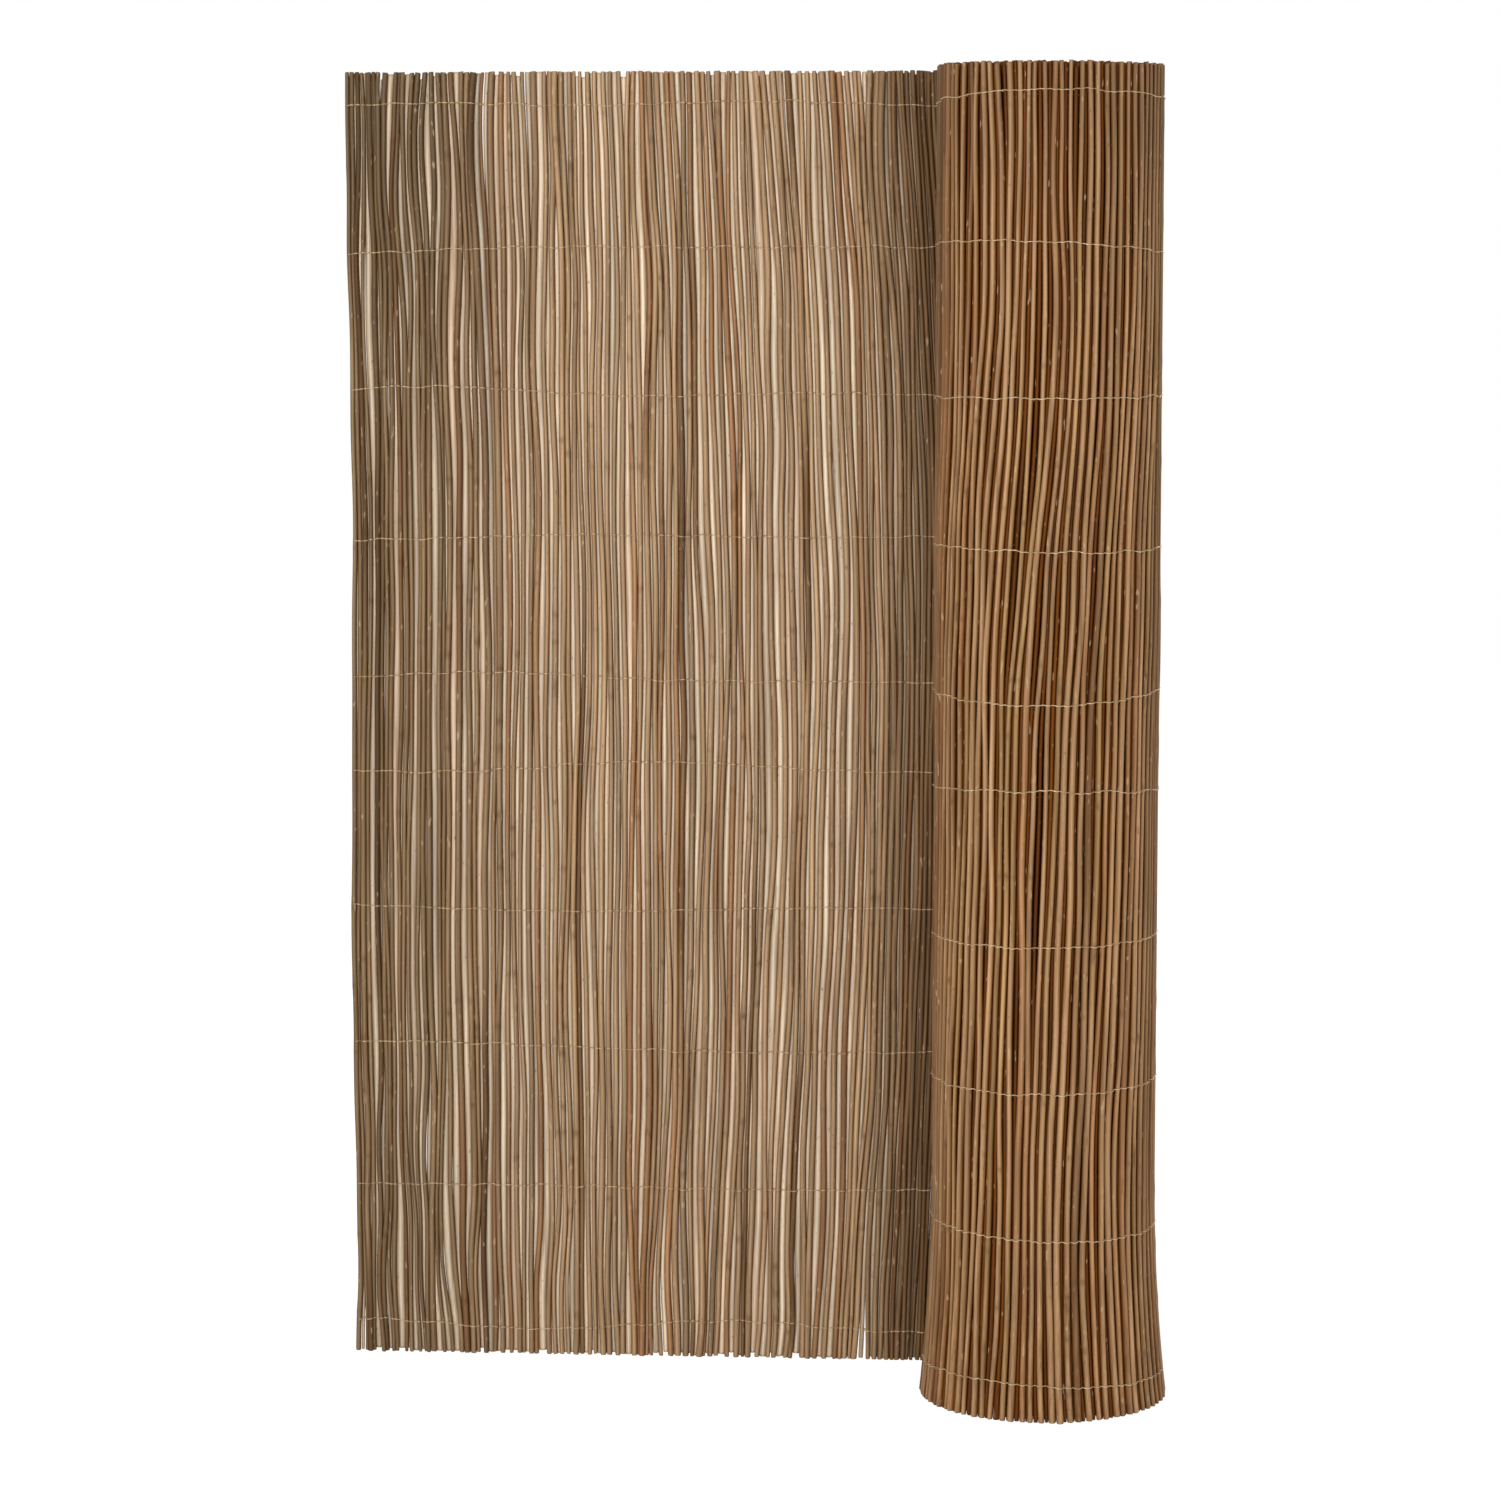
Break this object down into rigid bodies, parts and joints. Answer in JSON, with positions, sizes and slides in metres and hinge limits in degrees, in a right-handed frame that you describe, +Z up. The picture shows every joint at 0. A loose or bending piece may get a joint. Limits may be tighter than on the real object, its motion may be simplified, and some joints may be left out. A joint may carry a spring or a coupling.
{
  "type": "willow fence panel",
  "caption": "Upright mat of thin willow rods bound by rows of wire, part unrolled: a flat see-through screen that leads behind a standing roll and winds into it.",
  "frame": {"origin": "middle of the foot: the centre of the whole part's box in X and Y, at the height of the rods' lower ends", "axes": "+Z up along the rods, +X along the flat stretch from its free edge towards the roll, +Y from the roll's front to the flat stretch behind it"},
  "size_m": [0.6254, 0.1748, 1],
  "materials": {
    "willow": "matt bark",
    "binding_wire": "pale coated wire"
  },
  "bodies": {
    "root": {"flat_rods": "willow", "rolled_rods": "willow", "front_wire_01": "binding_wire", "front_wire_02": "binding_wire", "front_wire_03": "binding_wire", "front_wire_04": "binding_wire", "front_wire_05": "binding_wire", "front_wire_06": "binding_wire", "front_wire_07": "binding_wire", "front_wire_08": "binding_wire", "front_wire_09": "binding_wire", "front_wire_10": "binding_wire", "rear_wire_01": "binding_wire", "rear_wire_02": "binding_wire", "rear_wire_03": "binding_wire", "rear_wire_04": "binding_wire", "rear_wire_05": "binding_wire", "rear_wire_06": "binding_wire", "rear_wire_07": "binding_wire", "rear_wire_08": "binding_wire", "rear_wire_09": "binding_wire", "rear_wire_10": "binding_wire"}
  },
  "joints": []
}
